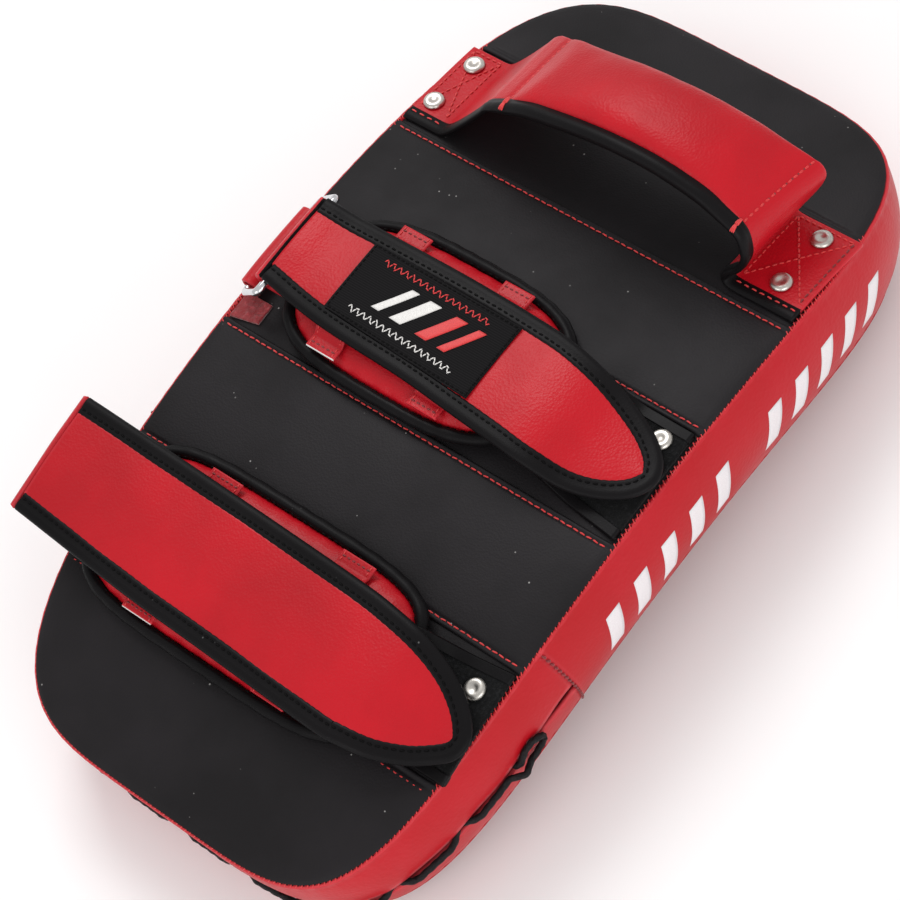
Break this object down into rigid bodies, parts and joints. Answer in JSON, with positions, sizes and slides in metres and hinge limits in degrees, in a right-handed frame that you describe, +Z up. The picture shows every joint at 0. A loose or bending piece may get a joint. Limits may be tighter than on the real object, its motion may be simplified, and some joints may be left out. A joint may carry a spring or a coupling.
{
  "type": "thai pad",
  "caption": "Curved leather kick pad with a laced end, a padded carrying handle on leather legs and padded forearm cuffs closed by hook-and-loop flaps.",
  "frame": {"origin": "bottom centre of the pad's box, on the floor it lies on with its strike face down", "axes": "+X across the pad towards the riveted strap ends, +Y along it towards the handle, +Z up through the thickness, out of the back"},
  "size_m": [0.2286, 0.379, 0.1183],
  "materials": {
    "red_leather": "glossy fine-grained",
    "black_leather": "soft sheen",
    "black_binding": "satin",
    "red_cloth": "brushed",
    "loop_pile": "loop pile",
    "foam_white": "closed-cell foam",
    "foam_grey": "closed-cell foam",
    "nickel": "nickel plated",
    "chrome": "polished",
    "label_cloth": "woven",
    "lace_cord": "waxed cord"
  },
  "bodies": {
    "pad": {"strike_foam": "foam_white", "core_foam": "foam_grey", "back_foam": "foam_white", "strike_face_cover": "red_leather", "side_wall": "red_leather", "end_wall_back_half": "red_leather", "end_wall_strike_half": "red_leather", "closing_lace": "lace_cord", "back_panel_top": "black_leather", "back_panel_upper": "black_leather", "back_panel_middle": "black_leather", "back_panel_bottom": "black_leather", "handle_band": "black_leather", "upper_cuff_band": "black_leather", "lower_cuff_band": "black_leather", "handle_strap_left": "red_leather", "handle_strap_right": "red_leather", "handle_binding_left": "black_binding", "handle_binding_right": "black_binding", "handle_rivet_left_far": "nickel", "handle_rivet_left_near": "nickel", "handle_rivet_right_far": "nickel", "handle_rivet_right_near": "nickel", "upper_ring_tab": "red_leather", "upper_tab_base": "red_cloth", "lower_strap_root": "red_leather", "upper_strap_rivet_near": "nickel", "upper_strap_rivet_far": "nickel", "lower_strap_rivet_near": "nickel", "lower_strap_rivet_far": "nickel"},
    "handle_grip": {"handle_cover_top": "red_leather", "handle_cover_under": "black_leather", "handle_foam": "foam_white", "handle_piping_near": "black_binding", "handle_piping_far": "black_binding"},
    "upper_cuff": {"upper_cushion": "red_leather", "upper_cushion_piping": "black_binding", "upper_keeper_left": "red_leather", "upper_keeper_right": "red_leather", "upper_strap": "loop_pile", "upper_ring": "chrome"},
    "upper_closure": {"upper_flap": "red_leather", "upper_flap_binding": "black_binding", "upper_flap_hook_patch": "loop_pile", "upper_flap_label": "label_cloth"},
    "lower_cuff": {"lower_cushion": "red_leather", "lower_cushion_piping": "black_binding", "lower_keeper_left": "red_leather", "lower_keeper_right": "red_leather", "lower_strap": "loop_pile"},
    "lower_closure": {"lower_flap": "red_leather", "lower_flap_binding": "black_binding", "lower_flap_hook_patch": "loop_pile"}
  },
  "joints": [
    {"name": "handle_tilt", "type": "hinge", "parent": "pad", "child": "handle_grip", "pos_m": [0.0051, 0.11652, 0.06578], "axis": [1, 0, 0], "range_deg": [-25, 25], "stiffness_Nm_per_rad": 0.4, "deforming": ["handle_strap_left", "handle_strap_right", "handle_binding_left", "handle_binding_right"]},
    {"name": "upper_cuff_lift", "type": "slide", "parent": "pad", "child": "upper_cuff", "axis": [0, 0.0247, 0.9997], "range_m": [0, 0.012], "deforming": ["upper_strap", "upper_ring_tab"]},
    {"name": "upper_flap_peel", "type": "hinge", "parent": "upper_cuff", "child": "upper_closure", "pos_m": [-0.0784, 0.01739, 0.09006], "axis": [0, -0.9996, 0.0268], "range_deg": [0, 150]},
    {"name": "lower_cuff_lift", "type": "slide", "parent": "pad", "child": "lower_cuff", "axis": [0, -0.1632, 0.9866], "range_m": [0, 0.012], "deforming": ["lower_strap", "lower_strap_root"]},
    {"name": "lower_flap_peel", "type": "hinge", "parent": "lower_cuff", "child": "lower_closure", "pos_m": [-0.1092, -0.10333, 0.08147], "axis": [0, -0.9872, -0.1593], "range_deg": [0, 150]}
  ]
}
